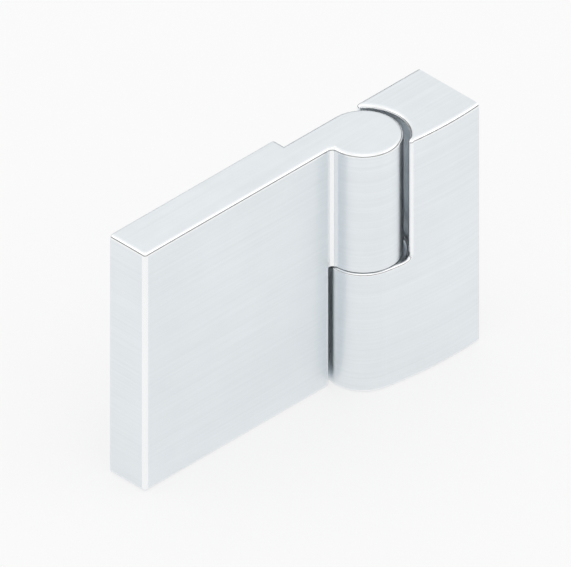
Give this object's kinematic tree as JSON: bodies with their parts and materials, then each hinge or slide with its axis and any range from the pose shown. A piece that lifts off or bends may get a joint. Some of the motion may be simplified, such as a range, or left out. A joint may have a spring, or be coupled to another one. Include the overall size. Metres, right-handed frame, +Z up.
{
  "type": "glass to wall shower hinge",
  "caption": "Shower door hinge that joins glass to a wall: flat glass leaf, bowed wall leaf and a split barrel whose helical cams lift the door as it opens.",
  "frame": {"origin": "on the wall contact face, level with the hinge pin's axis in depth and at mid height", "axes": "+X out of the wall contact face, into the wall; +Y towards the side of the hinge that the glass lies on; +Z up along the hinge pin"},
  "size_m": [0.094, 0.0318, 0.065],
  "materials": {
    "leaf_chrome": "satin",
    "disc_chrome": "polished",
    "stainless": "satin",
    "plate_steel": "satin",
    "screw_steel": "satin",
    "cam_plastic": "satin",
    "plug_plastic": "satin",
    "sleeve_nylon": "satin",
    "clear_gasket": "satin"
  },
  "bodies": {
    "wall_side": {"wall_leaf": "leaf_chrome", "wall_plate": "plate_steel", "wall_grub_upper": "screw_steel", "wall_grub_lower": "screw_steel", "zero_grub": "screw_steel", "cam_base": "cam_plastic", "lower_bearing": "cam_plastic", "bottom_plug": "plug_plastic"},
    "pin": {"hinge_pin": "stainless", "pin_washer": "stainless", "pin_screw": "stainless"},
    "glass_side": {"glass_leaf": "leaf_chrome", "cam_follower": "cam_plastic", "leaf_gasket": "clear_gasket", "clamp_disc_upper": "disc_chrome", "clamp_disc_lower": "disc_chrome", "disc_sleeve_upper": "sleeve_nylon", "disc_sleeve_lower": "sleeve_nylon", "clamp_screw_upper": "screw_steel", "clamp_screw_lower": "screw_steel"}
  },
  "joints": [
    {"name": "swing", "type": "hinge", "parent": "wall_side", "child": "pin", "pos_m": [-0.026, 0, 0], "axis": [0, 0, 1], "range_deg": [0, 100]},
    {"name": "lift", "type": "slide", "parent": "pin", "child": "glass_side", "axis": [0, 0, 1], "range_m": [0, 0.0045]}
  ],
  "couplings": [
    {"joint": "lift", "follows": "swing", "m_per_rad": 0.0025465}
  ]
}
